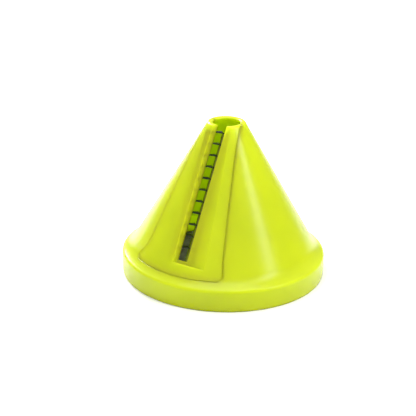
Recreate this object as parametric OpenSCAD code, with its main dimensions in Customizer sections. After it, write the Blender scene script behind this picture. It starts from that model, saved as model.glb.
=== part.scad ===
// Conical spiral vegetable cutter: a funnel with a clip-in blade insert.
// A vegetable is pushed up into the wide mouth and turned; the teeth slit it, the
// blade slices it, and the strips leave through the slot over the flat ramp.
// The origin is on the axis, at the plane that the rim stands on. The slot faces -Y.

/* [Funnel] */
// Outer radius of the rim at its upper corner
base_r = 44; // [44:0.5:54]
// Overall height
height = 67.5; // [67.5:0.5:70]
// Radius at which the outer cone meets the top plane
tip_r = 7.9; // [7.2:0.1:9]
// Angle between the cone's side and its axis
half_angle = 30; // [27:0.5:31]
// Wall thickness of the funnel and the insert
wall = 2.2; // [1.9:0.1:2.2]
// Slope of the brim below the horizontal
brim_slope = 27; // [20:1:32]
// Height of the upright band under the brim
band_h = 9.4; // [7.5:0.1:12]
// Draft of the band's outer face, in degrees
band_draft = 1; // [0:0.5:3]
// Radius of the hollow sweep between cone and brim
flare_r = 12; // [6:0.5:12]
// Radius of the rim's upper corner
rim_round = 1.5; // [0.8:0.1:1.8]
// Radius of the tip's outer edge
tip_round = 1; // [0.6:0.1:1.4]
// Radius of the hole in the tip
hole_r = 5.7; // [5.2:0.1:5.7]
// Radius of the hole's upper edge
hole_round = 0.9; // [0.4:0.1:1.1]
// Radius of small moulded edges
edge_round = 0.6; // [0.3:0.1:0.9]

/* [Insert] */
// Depth of the flat seat under the front line of the cone
seat_depth = 7.2; // [6.8:0.1:7.6]
// Half width of the insert at the tip
insert_half_w = 8.2; // [8:0.1:10]
// Widening of each side per millimetre down the slope
insert_taper = 0.183; // [0.12:0.005:0.2]
// Extra half width at the left lower corner
flare_left = 3.2; // [0:0.1:3.4]
// Extra half width at the right lower corner
flare_right = 0.7; // [0:0.1:2]
// Slope length over which a side turns out to its corner
corner_turn = 5.5; // [3:0.5:8]
// Size of the chamfer on each lower corner
corner_chamfer = 2.3; // [0.5:0.1:3]
// Gap between the insert's lower edge and the inside of the band
skirt_gap = 2.1; // [0.8:0.1:2.5]
// Width of the lap that the lower edge rests on
lap = 1.5; // [1:0.1:2.5]
// Gap round the insert
fit_gap = 0.15; // [0.1:0.01:0.3]

/* [Recess and slot] */
// Depth of the flat ramp under the front line of the cone
ramp_depth = 1.7; // [1.2:0.1:1.9]
// Slope length from the tip to the foot of the ramp
ramp_len = 59; // [50:0.5:59.5]
// Distance of the recess's left edge from the centre plane
recess_left = 2.2; // [2.2:0.1:2.2]
// Lean of the recess's left wall, in degrees
recess_draft = 32; // [32:1:40]
// Lean of the recess's lower wall, in degrees
foot_draft = 30; // [5:1:40]
// Radius of the recess's left edge
recess_round = 0.7; // [0.3:0.1:1]
// Distance of the slot's right edge from the centre plane
slot_right = 3.6; // [3.2:0.1:4]
// Plastic left between the slot's end and the foot of the ramp
slot_end_land = 1.5; // [0.5:0.1:2]

/* [Main blade] */
// Thickness of the blade
blade_t = 0.6; // [0.4:0.1:0.8]
// Distance of the cutting edge from the centre plane
blade_edge_x = 1; // [0.6:0.1:1.6]
// Depth of cut inside the funnel's inner wall
slice_t = 2.1; // [1.6:0.05:2.3]
// Relief angle of the blade
blade_tilt = 16; // [12:1:17]
// Blade width at the tip end
blade_w_top = 4.6; // [4.5:0.1:4.8]
// Blade width at the rim end
blade_w_low = 5.4; // [5.2:0.1:5.8]
// Length of the ground bevel
bevel_len = 1.2; // [0.8:0.1:2]
// Slope length from the tip to the blade's upper end
blade_start = 1.6; // [1:0.1:3]
// Length of blade held beyond the slot's end
blade_tail = 2; // [1:0.1:3]

/* [Julienne teeth] */
// Number of teeth
tooth_count = 11; // [6:1:11]
// Distance between teeth, which is the strip's width
tooth_pitch = 5; // [3:0.1:5]
// Slope length from the tip to the first tooth
tooth_start = 3.6; // [3.4:0.1:4]
// Thickness of a tooth
tooth_t = 0.5; // [0.3:0.1:0.7]
// Plastic left over each tooth's root
root_skin = 0.7; // [0.65:0.05:0.75]
// Plastic left between a tooth's neck and the recess's left wall
neck_skin = 0.35; // [0.3:0.05:0.4]
// Height of a tooth's root
root_h = 0.6; // [0.5:0.05:0.7]
// Length of a tooth's root
root_len = 0.9; // [0.8:0.1:1]
// Distance that a tooth reaches over the cutting edge
tooth_reach = 1; // [0.5:0.1:1.4]
// Gap between a tooth and the blade under it
tooth_gap = 0.1; // [0.05:0.05:0.3]

/* [Retaining bars] */
// Thickness of the bar over the blade
bar_t = 1.1; // [0.8:0.1:1.4]
// Width of the bar under the teeth's roots
tooth_bar_w = 2; // [1.9:0.1:2.1]
// Slope length from the tip to the upper end of that bar
tooth_bar_start = 2.4; // [2.4:0.1:3]
// Diameter of the stakes that hold the bars
stake_d = 1.2; // [1:0.1:1.4]
// Diameter of the stakes' closed heads
stake_head_d = 1.8; // [1.6:0.1:1.9]
// Thickness of the stakes' closed heads
stake_head_t = 0.35; // [0.2:0.05:0.5]
// Number of stakes in each bar
stake_count = 3; // [2:1:4]
// Gap round what sits in the insert
seat_gap = 0.05; // [0.03:0.01:0.1]

/* [Hidden] */
$fn = 96;
far = 200;   // reaches past the whole part
bite = 0.5;  // how far one cutting body runs into another
meet = 0.003;  // how far an arc crosses the lines it joins
lime = [0.76, 0.84, 0.14];
steel = [0.72, 0.73, 0.75];

function pad(i) = i < 9 ? str("0", i + 1) : str(i + 1);
TEETH = [for (i = [0 : tooth_count - 1]) str("julienne_tooth_", pad(i))];

function unit(a) = [cos(a), sin(a)];

// Radius and height at which the cone and the brim meet, each moved in by inset
function cone_r(z, inset) = tip_r - inset / cos(half_angle) + (height - z) * tan(half_angle);
function brim_z(r, inset) = band_h - inset / cos(brim_slope) + (base_r - r) * tan(brim_slope);
function knee_r(inset) =
    cone_r(brim_z(0, inset), inset) / (1 - tan(half_angle) * tan(brim_slope));
function knee(inset) = [knee_r(inset), brim_z(knee_r(inset), inset)];

// The flare stops short of the rim's round
brim_len = (base_r - knee_r(0)) / cos(brim_slope);
flare_turn = (90 - half_angle - brim_slope) / 2;
rim_turn = (90 - brim_slope + band_draft) / 2;
flare_used = min(flare_r, (brim_len - rim_round * tan(rim_turn)) / tan(flare_turn) - 0.1);

// Insert's outline down the slope
edge_r = base_r - wall - skirt_gap;
insert_len = norm(knee(0) - [tip_r, height]) + (edge_r - knee_r(0)) * sin(half_angle);

// Height over which the hole in the tip is straight
hole_depth = (hole_r - cone_r(height, wall)) / tan(half_angle) + bite;

slot_len = ramp_len - slot_end_land;
slot_foot_x = -recess_left + (wall * tan(recess_draft));
blade_edge_z = -wall - slice_t;
blade_end = slot_len + blade_tail;
bar_x = (slot_right - blade_edge_x) / cos(blade_tilt) + 0.35;
tooth_bar_right = recess_left + 0.45;
tooth_bar_left = tooth_bar_right + tooth_bar_w;
tooth_bar_top = root_skin + root_h;
tooth_lean = tooth_t / 2 * sin(half_angle);  // how far a level tooth's lower corner dips

// Area between a corner and the arc that rounds it. a and b are the directions of
// the two edges that leave the corner, anticlockwise.
module corner(p, a, b, r) {
    half = (b - a) / 2;
    centre = p + unit(a + half) * r / sin(half);
    difference() {
        polygon([
            p - unit(a + half) * bite / 5,
            p + unit(a) * r / tan(half),
            centre,
            p + unit(b) * r / tan(half)
        ]);
        translate(centre) circle(r + meet);
    }
}

// Half section of the outside of the funnel
module outer_section() {
    foot = [base_r - band_h * tan(band_draft), 0];
    rim = [base_r, band_h];
    tip = [tip_r, height];
    difference() {
        union() {
            polygon([[0, 0], foot, rim, knee(0), tip, [0, height]]);
            corner(knee(0), -brim_slope, 90 + half_angle, flare_used);
        }
        corner(rim, 180 - brim_slope, 270 - band_draft, rim_round);
        corner(tip, 180, 270 + half_angle, tip_round);
        corner(foot, 90 - band_draft, 180, edge_round);
    }
}

// Half section of a form inset from the outside. Its band is a true cylinder.
module inset_section(inset) {
    side_r = base_r - inset;
    difference() {
        union() {
            polygon([
                [0, -bite], [side_r, -bite], [side_r, brim_z(side_r, inset)], knee(inset),
                [cone_r(height, inset), height], [cone_r(height, inset), height + bite],
                [0, height + bite]
            ]);
            corner(knee(inset), -brim_slope, 90 + half_angle, flare_used + inset);
        }
        corner([side_r, brim_z(side_r, inset)], 180 - brim_slope, 270, edge_round);
    }
}

module shell() {
    rotate_extrude() difference() {
        outer_section();
        inset_section(wall);
        translate([0, height - hole_depth]) square([hole_r, hole_depth + bite]);
        corner([hole_r, height], 270, 360, hole_round);
    }
}

// Puts the origin at the tip of the cone's front line: X across, Y up the slope, Z outward
module on_slope() {
    translate([0, -tip_r, height]) rotate([90 - half_angle, 0, 0]) children();
}

// Puts the origin on the cutting edge, with X across the blade and Z outward
module on_blade() {
    on_slope() translate([blade_edge_x, 0, blade_edge_z]) rotate([0, -blade_tilt, 0]) children();
}

// Everything over a cone that opens upward through radius r of the brim, so that the
// insert's lower edge clears the rim as it lifts off the slope
module above_lip(r) {
    z = brim_z(r, 0);
    grow = tan(90 - half_angle);
    rotate_extrude() polygon([[0, z - r / grow], [far * grow + r, z + far], [0, z + far]]);
}

// Half width of the insert's straight side at y down the slope
function side_x(y) = insert_half_w + insert_taper * y;

// Slope length at which the insert's lower edge crosses x
function edge_y(x) = insert_len - (edge_r - sqrt(edge_r ^ 2 - x ^ 2)) * sin(half_angle);

// One side of the insert's outline, from the tip down
function outline_side(flare, gap) =
    let (
        last_x = side_x(insert_len) + flare - corner_chamfer,
        last_y = edge_y(last_x),
        corner_y = last_y - corner_chamfer,
        turn_y = corner_y - corner_turn
    )
    [
        [side_x(-20) + gap, 20],
        [side_x(turn_y) + gap, -turn_y],
        [side_x(corner_y) + flare + gap, -corner_y],
        [last_x + gap, -last_y],
        [last_x / 2, -insert_len - 20]
    ];

// The insert's outline, raised from its seat
module insert_outline(gap) {
    right = outline_side(flare_right, gap);
    left = outline_side(flare_left, gap);
    on_slope() translate([0, 0, -seat_depth]) linear_extrude(seat_depth + 20)
        polygon(concat(right, [for (i = [len(left) - 1 : -1 : 0]) [-left[i].x, left[i].y]]));
}

// The space that the insert takes out of the shell, less the lap under its lower edge
module insert_zone(gap) {
    difference() {
        intersection() {
            insert_outline(gap);
            above_lip(edge_r + gap);
        }
        difference() {
            rotate_extrude() inset_section(wall / 2 + gap);
            above_lip(edge_r - lap + gap);
        }
    }
}

// Flat ramp with a drafted wall on its left and at its foot
module recess() {
    rise = 8;
    floor_x = -recess_left + ramp_depth * tan(recess_draft);
    on_slope() difference() {
        rotate([90, 0, 0]) translate([0, 0, -20]) linear_extrude(ramp_len + 20) union() {
            polygon([
                [floor_x, -ramp_depth], [-recess_left, 0], [-recess_left, rise],
                [30, rise], [30, -ramp_depth]
            ]);
            corner([-recess_left, 0], 180, 360 - (90 - recess_draft), recess_round);
        }
        translate([-30, -ramp_len, -ramp_depth]) rotate([foot_draft, 0, 0])
            translate([0, -40, -10]) cube([80, 40, 40]);
    }
}

// Opening through the floor of the recess, from the tip to the slot's end
module slot() {
    depth = wall + 6;
    lean = tan(recess_draft);
    on_slope() rotate([90, 0, 0]) translate([0, 0, -20]) linear_extrude(slot_len + 20) polygon([
        [-recess_left + (ramp_depth - bite) * lean, -ramp_depth + bite],
        [slot_foot_x, -wall], [slot_foot_x, -depth],
        [slot_right, -depth], [slot_right, -ramp_depth + bite]
    ]);
}

// Plan of the blade from x0 to its back edge, grown by gap
module blade_plan(x0, gap) {
    polygon([
        [x0, -blade_start + gap], [blade_w_top + gap, -blade_start + gap],
        [blade_w_low + gap, -blade_end - gap], [x0, -blade_end - gap]
    ]);
}

// Room for the blade and its bar, open to the inside of the funnel
module blade_pocket() {
    on_blade() translate([0, 0, blade_t - far]) linear_extrude(far)
        blade_plan(-slot_right, seat_gap);
}

// Places one child at each stake of a row that runs down the slope
module stake_row(x_top, x_low, first, last) {
    step = (last - first) / (stake_count - 1);
    for (i = [0 : stake_count - 1])
        translate([x_top + (x_low - x_top) * i / (stake_count - 1), -first - i * step, 0])
            children();
}

module blade_stakes(d, top, low) {
    on_blade() stake_row(bar_x + 0.8, bar_x + 1, blade_start + 5, blade_end - 4)
        translate([0, 0, low]) cylinder(h = top - low, d = d);
}

module tooth_stakes(d, top, low) {
    middle = -(tooth_bar_left + tooth_bar_right) / 2;
    first = tooth_start + 2.5 * tooth_pitch;
    last = tooth_start + (tooth_count - 2.5) * tooth_pitch;
    on_slope() stake_row(middle, middle, first, last)
        translate([0, 0, low]) cylinder(h = top - low, d = d);
}

module funnel_body() {
    color(lime) difference() {
        shell();
        insert_zone(fit_gap);
    }
}

// The bar under the teeth's roots, or with a gap the room for it
module tooth_bar_block(gap, depth) {
    on_slope() translate([-tooth_bar_left - gap, -slot_len - gap, -depth - tooth_bar_top])
        cube([tooth_bar_w + gap * 2, slot_len - tooth_bar_start + gap * 2, depth]);
}

module blade_insert() {
    color(lime) union() {
        difference() {
            intersection() {
                shell();
                insert_zone(0);
            }
            recess();
            slot();
            blade_pocket();
            tooth_bar_block(seat_gap, wall * 2);
            for (i = [0 : tooth_count - 1]) tooth_slit(i);
        }
        blade_stakes(stake_d, blade_t + bite, -bar_t);
        blade_stakes(stake_head_d, -bar_t, -bar_t - stake_head_t);
        tooth_stakes(stake_d, -tooth_bar_top + bite, -wall);
        tooth_stakes(stake_head_d, -wall + stake_head_t, -wall);
    }
}

module main_blade() {
    color(steel) difference() {
        on_blade() linear_extrude(blade_t) blade_plan(0, 0);
        on_blade() rotate([0, -atan(blade_t / bevel_len), 0])
            translate([-5, -far / 2, 0]) cube([5 + norm([blade_t, bevel_len]), far, 5]);
        blade_stakes(stake_d + 2 * seat_gap, blade_t + bite, -bite);
    }
}

module blade_bar() {
    chamfer = bar_t * 0.8;
    color(lime) difference() {
        on_blade() translate([0, 0, -bar_t]) linear_extrude(bar_t) blade_plan(bar_x - chamfer, 0);
        on_blade() translate([bar_x, -far / 2, -bar_t]) rotate([0, -135, 0])
            cube([far / 10, far, far / 10]);
        blade_stakes(stake_d + 2 * seat_gap, bite, -bar_t - bite);
    }
}

module tooth_bar() {
    color(lime) difference() {
        tooth_bar_block(0, wall - tooth_bar_top);
        tooth_stakes(stake_d + 2 * seat_gap, 0, -wall - bite);
        tooth_stakes(stake_head_d + 2 * seat_gap, -wall + stake_head_t, -wall - bite);
    }
}

// Point of a tooth, from its distance across and its depth square to the slope
function level(x, z) = [x, z / cos(half_angle)];

// Puts the origin on the cone's front line in the level plane of tooth i, X across, Y outward
module at_tooth(i, thickness) {
    drop = (tooth_start + i * tooth_pitch) * cos(half_angle);
    translate([0, -tip_r - drop * tan(half_angle), height - drop - thickness / 2])
        mirror([0, 1, 0]) linear_extrude(thickness) children();
}

// Distance across at which a tooth lies under the skin of the recess's left wall
function under_wall(depth) =
    -recess_left + depth * tan(recess_draft) - neck_skin / cos(recess_draft);

// Slit for a tooth in the back of the recess's left wall
module tooth_slit(i) {
    left = -recess_left - root_len - seat_gap;
    right = under_wall(wall + bite);
    at_tooth(i, tooth_t + 2 * seat_gap) polygon([
        level(left, -root_skin), level(under_wall(root_skin), -root_skin),
        level(right, -wall - bite), level(right, -far), level(left, -far)
    ]);
}

// A tooth's root lies in its slit; its slanted leading edge stands inside the funnel
module tooth(i) {
    bevel = blade_tilt + atan(blade_t / bevel_len);
    edge = [blade_edge_x, blade_edge_z] + unit(bevel + 90) * (tooth_gap + tooth_lean);
    over = edge + unit(bevel) * (tooth_reach / cos(bevel));
    neck = wall + 2 * tooth_lean;
    root_x = -recess_left - root_len;
    stem_x = 0.1 - tooth_bar_right;
    outline = [
        [root_x, -root_skin], [under_wall(root_skin), -root_skin],
        [under_wall(neck), -neck], over + [0, 0.4], over, edge, edge - [0.35, 0.1],
        [stem_x, -wall - 0.1], [stem_x, tooth_lean - tooth_bar_top],
        [root_x, tooth_lean - tooth_bar_top]
    ];
    color(steel) at_tooth(i, tooth_t) polygon([for (p = outline) level(p.x, p.y)]);
}

funnel_body();
blade_insert();
main_blade();
blade_bar();
tooth_bar();
for (i = [0 : tooth_count - 1])
    tooth(i);
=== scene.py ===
import math

import bpy
from mathutils import Matrix, Vector


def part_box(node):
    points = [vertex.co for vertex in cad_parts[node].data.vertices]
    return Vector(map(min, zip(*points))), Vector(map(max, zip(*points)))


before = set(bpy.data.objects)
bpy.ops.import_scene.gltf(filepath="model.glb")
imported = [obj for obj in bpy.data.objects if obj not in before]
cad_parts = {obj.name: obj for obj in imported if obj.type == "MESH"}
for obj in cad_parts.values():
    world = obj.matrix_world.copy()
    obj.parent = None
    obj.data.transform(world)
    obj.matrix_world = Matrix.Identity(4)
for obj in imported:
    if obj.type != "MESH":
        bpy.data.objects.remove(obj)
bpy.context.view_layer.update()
MM = 0.001

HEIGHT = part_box("funnel_body")[1].z


# Camera and light

VIEW_AZIMUTH = math.radians(31.4)
VIEW_ELEVATION = math.radians(22.2)
VIEW_DISTANCE = 520 * MM
VIEW_ROLL = math.radians(1.2)
VIEW_LENS = 104.3
AIM_HEIGHT = 30 * MM
FRAME_RIGHT = 7.1 * MM  # how far the object stands right of the frame's middle
FRAME_UP = 1.7 * MM  # and above it
ROOM_LOW = 0.15  # strength of the room's light at the horizon and below
ROOM_HIGH = 0.95  # and overhead
ROOM_TOP = 0.8  # sine of the elevation from which it is overhead


def direction(azimuth, elevation):
    flat = math.cos(elevation)
    return Vector((math.sin(azimuth) * flat, -math.cos(azimuth) * flat, math.sin(elevation)))


def add_camera():
    data = bpy.data.cameras.new("camera")
    data.lens = VIEW_LENS
    data.clip_start = 10 * MM
    data.clip_end = 20
    cam = bpy.data.objects.new("camera", data)
    bpy.context.scene.collection.objects.link(cam)
    back = direction(VIEW_AZIMUTH, VIEW_ELEVATION)
    turn = (-back).to_track_quat("-Z", "Y").to_matrix() @ Matrix.Rotation(VIEW_ROLL, 3, "Z")
    right, up = turn.col[0], turn.col[1]
    aim = Vector((0, 0, AIM_HEIGHT)) - right * FRAME_RIGHT - up * FRAME_UP
    cam.matrix_world = Matrix.Translation(aim + back * VIEW_DISTANCE) @ turn.to_4x4()
    bpy.context.scene.camera = cam


def add_panel(name, azimuth, elevation, distance, size, power):
    """A soft rectangular light that faces the object. Lengths are in metres and power in watts.

    Angles are in degrees: azimuth from the camera's side, and elevation from the horizon.
    """
    data = bpy.data.lights.new(name, "AREA")
    data.shape = "RECTANGLE"
    data.size, data.size_y = size
    data.energy = power
    light = bpy.data.objects.new(name, data)
    bpy.context.scene.collection.objects.link(light)
    back = direction(VIEW_AZIMUTH + math.radians(azimuth), math.radians(elevation))
    light.location = Vector((0, 0, HEIGHT / 2)) + back * distance
    light.rotation_euler = back.to_track_quat("Z", "Y").to_euler()


def add_lights():
    add_panel("right_panel", azimuth=63, elevation=36, distance=0.55, size=(0.12, 0.3), power=0.9)
    add_panel("back_panel", azimuth=-153, elevation=27, distance=0.55, size=(0.22, 0.22), power=3.4)
    add_panel("top_panel", azimuth=10, elevation=82, distance=0.6, size=(0.5, 0.5), power=2.2)
    world = bpy.data.worlds.new("studio")
    bpy.context.scene.world = world
    world.use_nodes = True
    tree = world.node_tree
    background = tree.nodes["Background"]
    background.inputs["Color"].default_value = (1, 1, 1, 1)
    place = tree.nodes.new("ShaderNodeTexCoord")
    split = tree.nodes.new("ShaderNodeSeparateXYZ")
    tree.links.new(place.outputs["Generated"], split.inputs[0])
    tree.links.new(ramp(tree, split.outputs["Z"], ROOM_LOW, ROOM_HIGH, 0, ROOM_TOP),
                   background.inputs["Strength"])


# Materials. Scales of noise are per millimetre.

EDGE_GLOSS = 0.35 * MM  # width over which a moulded edge catches the light
GLOW_DEPTH = 6.5 * MM  # how far light travels inside the plastic
GLOW_SPREAD = (0.9, 1.0, 0.15)  # share of that depth for red, green and blue
CLOUD_SCALE = 0.045
GRAIN_SCALE = 0.9
WAVE_SCALE = 0.12
WAVE_DEPTH = 0.04 * MM
GRIND_DEPTH = 0.02 * MM
FLOOR_HALF = 3  # metres from the middle of the floor to its edge


def new_material(name, base, roughness, metallic=0.0):
    """A Principled material, with its node tree, its shader and a position in millimetres."""
    material = bpy.data.materials.new(name)
    material.use_nodes = True
    tree = material.node_tree
    shader = tree.nodes["Principled BSDF"]
    shader.inputs["Base Color"].default_value = (*base, 1)
    shader.inputs["Roughness"].default_value = roughness
    shader.inputs["Metallic"].default_value = metallic
    place = tree.nodes.new("ShaderNodeTexCoord")
    scale = tree.nodes.new("ShaderNodeVectorMath")
    scale.operation = "SCALE"
    scale.inputs["Scale"].default_value = 1 / MM
    tree.links.new(place.outputs["Object"], scale.inputs[0])
    return material, tree, shader, scale.outputs[0]


def noise(tree, place, scale, detail, stretch=None):
    """A noise value about a place. stretch multiplies the place along each axis."""
    if stretch is not None:
        squeeze = tree.nodes.new("ShaderNodeVectorMath")
        squeeze.operation = "MULTIPLY"
        squeeze.inputs[1].default_value = stretch
        tree.links.new(place, squeeze.inputs[0])
        place = squeeze.outputs[0]
    texture = tree.nodes.new("ShaderNodeTexNoise")
    texture.inputs["Scale"].default_value = scale
    texture.inputs["Detail"].default_value = detail
    tree.links.new(place, texture.inputs["Vector"])
    return texture.outputs["Fac"]


def ramp(tree, value, low, high, start=0.3, end=0.7):
    """Runs from low to high while value goes from start to end, and stays level outside them."""
    node = tree.nodes.new("ShaderNodeMapRange")
    node.inputs["From Min"].default_value = start
    node.inputs["From Max"].default_value = end
    node.inputs["To Min"].default_value = low
    node.inputs["To Max"].default_value = high
    tree.links.new(value, node.inputs["Value"])
    return node.outputs["Result"]


def blend_colours(tree, value, first, second):
    node = tree.nodes.new("ShaderNodeMix")
    node.data_type = "RGBA"
    node.inputs["A"].default_value = (*first, 1)
    node.inputs["B"].default_value = (*second, 1)
    tree.links.new(value, node.inputs["Factor"])
    return node.outputs["Result"]


def bump(tree, shader, height, strength, distance, normal=None):
    node = tree.nodes.new("ShaderNodeBump")
    node.inputs["Strength"].default_value = strength
    node.inputs["Distance"].default_value = distance
    tree.links.new(height, node.inputs["Height"])
    if normal is not None:
        tree.links.new(normal, node.inputs["Normal"])
    tree.links.new(node.outputs["Normal"], shader.inputs["Normal"])


def lime_plastic(name, base, roughness=0.24):
    """Glossy moulded plastic: slightly cloudy, with a faint flow texture."""
    material, tree, shader, place = new_material(name, base, roughness)
    darker = tuple(c * 0.94 for c in base)
    lighter = tuple(min(1, c * 1.05) for c in base)
    cloud = noise(tree, place, CLOUD_SCALE, 2.0)
    tree.links.new(blend_colours(tree, ramp(tree, cloud, 0, 1), darker, lighter),
                   shader.inputs["Base Color"])
    grain = noise(tree, place, GRAIN_SCALE, 4.0)
    tree.links.new(ramp(tree, grain, roughness - 0.02, roughness + 0.03),
                   shader.inputs["Roughness"])
    rounded = tree.nodes.new("ShaderNodeBevel")
    rounded.samples = 4
    rounded.inputs["Radius"].default_value = EDGE_GLOSS
    waves = noise(tree, place, WAVE_SCALE, 1.0)
    bump(tree, shader, waves, 0.2, WAVE_DEPTH, rounded.outputs[0])
    shader.inputs["IOR"].default_value = 1.5
    shader.inputs["Specular IOR Level"].default_value = 0.3
    shader.inputs["Subsurface Weight"].default_value = 1.0
    shader.inputs["Subsurface Radius"].default_value = GLOW_SPREAD
    shader.inputs["Subsurface Scale"].default_value = GLOW_DEPTH
    return material


def ground_steel(name, base, roughness, fineness):
    """Stainless with fine grinding lines. fineness says how closely they are set along each axis."""
    material, tree, shader, place = new_material(name, base, roughness, 1.0)
    lines = noise(tree, place, 1.0, 5.0, fineness)
    tree.links.new(ramp(tree, lines, roughness - 0.08, roughness + 0.12),
                   shader.inputs["Roughness"])
    darker = tuple(c * 0.8 for c in base)
    tree.links.new(blend_colours(tree, ramp(tree, lines, 0, 1), darker, base),
                   shader.inputs["Base Color"])
    bump(tree, shader, lines, 0.25, GRIND_DEPTH)
    return material


def pale_floor():
    material, tree, shader, place = new_material("pale_floor", (0.93, 0.93, 0.93), 0.7)
    tree.links.new(ramp(tree, noise(tree, place, 0.02, 2.0), 0.66, 0.74),
                   shader.inputs["Roughness"])
    return material


def dress(material, *nodes):
    for node in nodes:
        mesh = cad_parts[node].data
        mesh.materials.clear()
        mesh.materials.append(material)


def dress_everything():
    dress(lime_plastic("funnel_plastic", (0.53, 0.63, 0.004)), "funnel_body")
    dress(lime_plastic("insert_plastic", (0.54, 0.645, 0.005)), "blade_insert")
    dress(lime_plastic("bar_plastic", (0.47, 0.555, 0.005), 0.36), "blade_bar", "tooth_bar")
    # The blade is real ground stainless, but its base colour is set far below real steel: a painted
    # dark reflection of the surroundings it mirrors in the slot.
    dress(ground_steel("blade_steel", (0.26, 0.26, 0.24), 0.14, (14, 0.3, 0.3)), "main_blade")
    teeth = [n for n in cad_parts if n.startswith("julienne_tooth")]
    # The steel teeth get a near-black base colour: painted shade, for teeth seen edge-on in shadow
    # inside the slot.
    dress(ground_steel("tooth_steel", (0.03, 0.03, 0.03), 0.3, (2, 2, 12)), *teeth)


def add_floor():
    mesh = bpy.data.meshes.new("floor")
    signs = [(-1, -1), (1, -1), (1, 1), (-1, 1)]
    corners = [(x * FLOOR_HALF, y * FLOOR_HALF, 0) for x, y in signs]
    mesh.from_pydata(corners, [], [(0, 1, 2, 3)])
    floor = bpy.data.objects.new("floor", mesh)
    bpy.context.scene.collection.objects.link(floor)
    mesh.materials.append(pale_floor())


bpy.context.scene.view_settings.view_transform = "Standard"
add_camera()
add_lights()
dress_everything()
add_floor()
